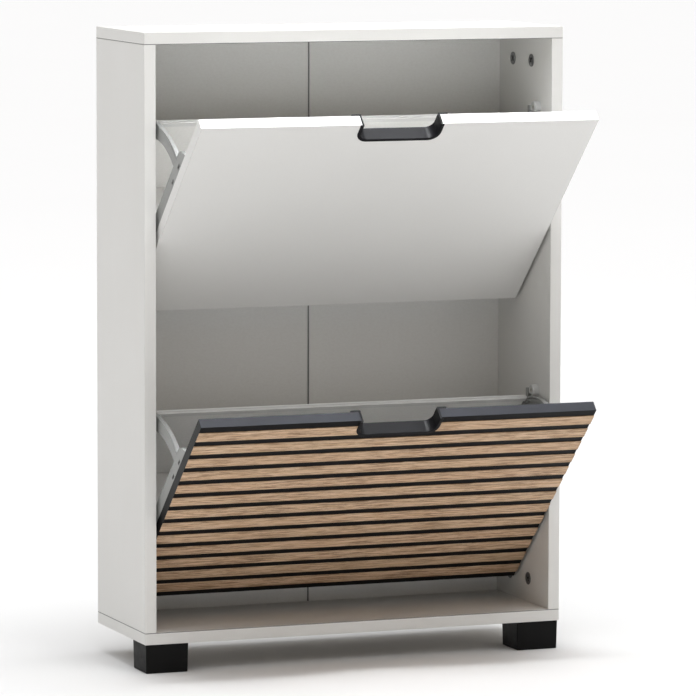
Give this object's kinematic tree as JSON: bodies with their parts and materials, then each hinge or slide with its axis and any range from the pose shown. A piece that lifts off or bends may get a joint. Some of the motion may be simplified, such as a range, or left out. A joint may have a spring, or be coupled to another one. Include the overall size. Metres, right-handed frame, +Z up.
{
  "type": "shoe cabinet",
  "caption": "Tall, shallow white shoe cabinet with black block feet in front, hung on the wall behind. Its two front flaps tilt out with shoe trays; the lower one has oak slats on black.",
  "frame": {"origin": "on the floor, under the centre of the footprint with both flaps open", "axes": "+Z up, -Y towards the front where the flaps tilt out, +X to the right as seen from the front"},
  "size_m": [0.6, 0.3681, 0.854],
  "materials": {
    "white_melamine": "satin melamine on chipboard",
    "black_melamine": "matt black melamine on chipboard",
    "oak": "matt oak veneer, grain along the slat",
    "white_hardboard": "painted hardboard",
    "white_plastic": "extruded profile",
    "grey_plastic": "moulded, fine texture",
    "black_plastic": "moulded, satin",
    "zinc_steel": "zinc plated",
    "cast_zinc": "die-cast zinc alloy",
    "beech": "fluted dowel, raw"
  },
  "bodies": {
    "carcass": {"top_panel": "white_melamine", "bottom_panel": "white_melamine", "left_side_panel": "white_melamine", "right_side_panel": "white_melamine", "back_panel_left": "white_hardboard", "back_panel_right": "white_hardboard", "back_joint_strip": "white_plastic", "left_foot": "black_plastic", "right_foot": "black_plastic", "foot_screws": "zinc_steel", "wall_hangers": "zinc_steel", "wall_hanger_screws": "zinc_steel", "cam_locks": "cast_zinc", "cam_bolts": "zinc_steel", "wooden_dowels": "beech", "pivot_bushes": "grey_plastic", "stop_buffers": "grey_plastic", "stop_screws": "zinc_steel"},
    "upper_flap": {"upper_front_panel": "white_melamine", "upper_grip_trim": "black_plastic", "upper_grip_screws": "zinc_steel", "upper_left_side_plate": "grey_plastic", "upper_right_side_plate": "grey_plastic", "upper_rear_board": "white_hardboard", "upper_rear_edge_trim": "white_plastic", "upper_floor_board": "white_melamine", "upper_plate_screws": "zinc_steel", "upper_floor_screws": "zinc_steel", "upper_pivot_pins": "zinc_steel"},
    "lower_flap": {"lower_front_panel": "black_melamine", "lower_grip_trim": "black_plastic", "lower_grip_screws": "zinc_steel", "lower_left_side_plate": "grey_plastic", "lower_right_side_plate": "grey_plastic", "lower_rear_board": "white_hardboard", "lower_rear_edge_trim": "white_plastic", "lower_floor_board": "white_melamine", "lower_plate_screws": "zinc_steel", "lower_floor_screws": "zinc_steel", "lower_pivot_pins": "zinc_steel", "lower_slat_01": "oak", "lower_slat_02": "oak", "lower_slat_03": "oak", "lower_slat_04": "oak", "lower_slat_05": "oak", "lower_slat_06": "oak", "lower_slat_07": "oak", "lower_slat_08": "oak", "lower_slat_09": "oak", "lower_slat_10": "oak", "lower_slat_11": "oak", "lower_slat_12": "oak", "lower_slat_13": "oak"}
  },
  "joints": [
    {"name": "upper_flap_tilt", "type": "hinge", "parent": "carcass", "child": "upper_flap", "pos_m": [0, 0.009, 0.5895], "axis": [1, 0, 0], "range_deg": [-46.5, 0]},
    {"name": "lower_flap_tilt", "type": "hinge", "parent": "carcass", "child": "lower_flap", "pos_m": [0, 0.009, 0.2005], "axis": [1, 0, 0], "range_deg": [-46.5, 0]}
  ]
}
